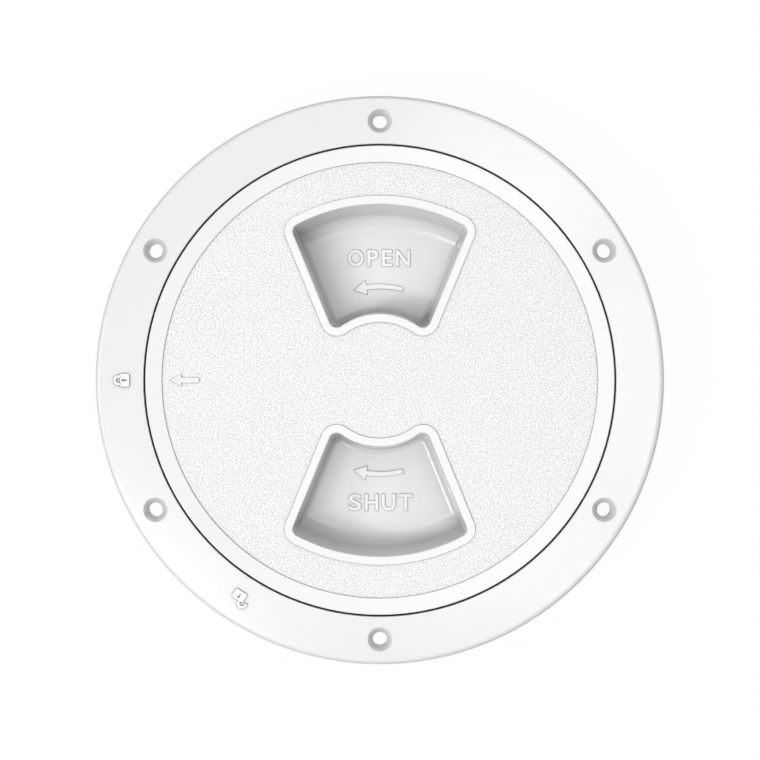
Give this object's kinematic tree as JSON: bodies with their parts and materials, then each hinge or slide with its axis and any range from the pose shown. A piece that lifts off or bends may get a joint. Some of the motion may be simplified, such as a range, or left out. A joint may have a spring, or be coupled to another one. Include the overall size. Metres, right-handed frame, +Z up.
{
  "type": "deck inspection plate",
  "caption": "Round white plastic deck inspection plate: a flanged ring with countersunk screw holes and a bayonet lid with hand recesses that turns open.",
  "frame": {"origin": "centre of the screw circle on the deck plane, which is the underside of the flange", "axes": "+Z up out of the deck; +Y towards the hand recess marked OPEN; +X to the right seen from above, so the closed padlock is on -X"},
  "size_m": [0.204, 0.204, 0.0264],
  "materials": {
    "frame_plastic": "smooth moulded white plastic, semi-gloss",
    "lid_plastic": "moulded white plastic, smooth rims and a fine grained field, semi-gloss",
    "seal_rubber": "matt black rubber"
  },
  "bodies": {
    "frame": {"frame_ring": "frame_plastic", "seal_ring": "seal_rubber"},
    "lid": {"lid": "lid_plastic"}
  },
  "joints": [
    {"name": "lid_turn", "type": "hinge", "parent": "frame", "child": "lid", "pos_m": [0, 0, 0], "axis": [0, 0, 1], "range_deg": [0, 57.5]}
  ]
}
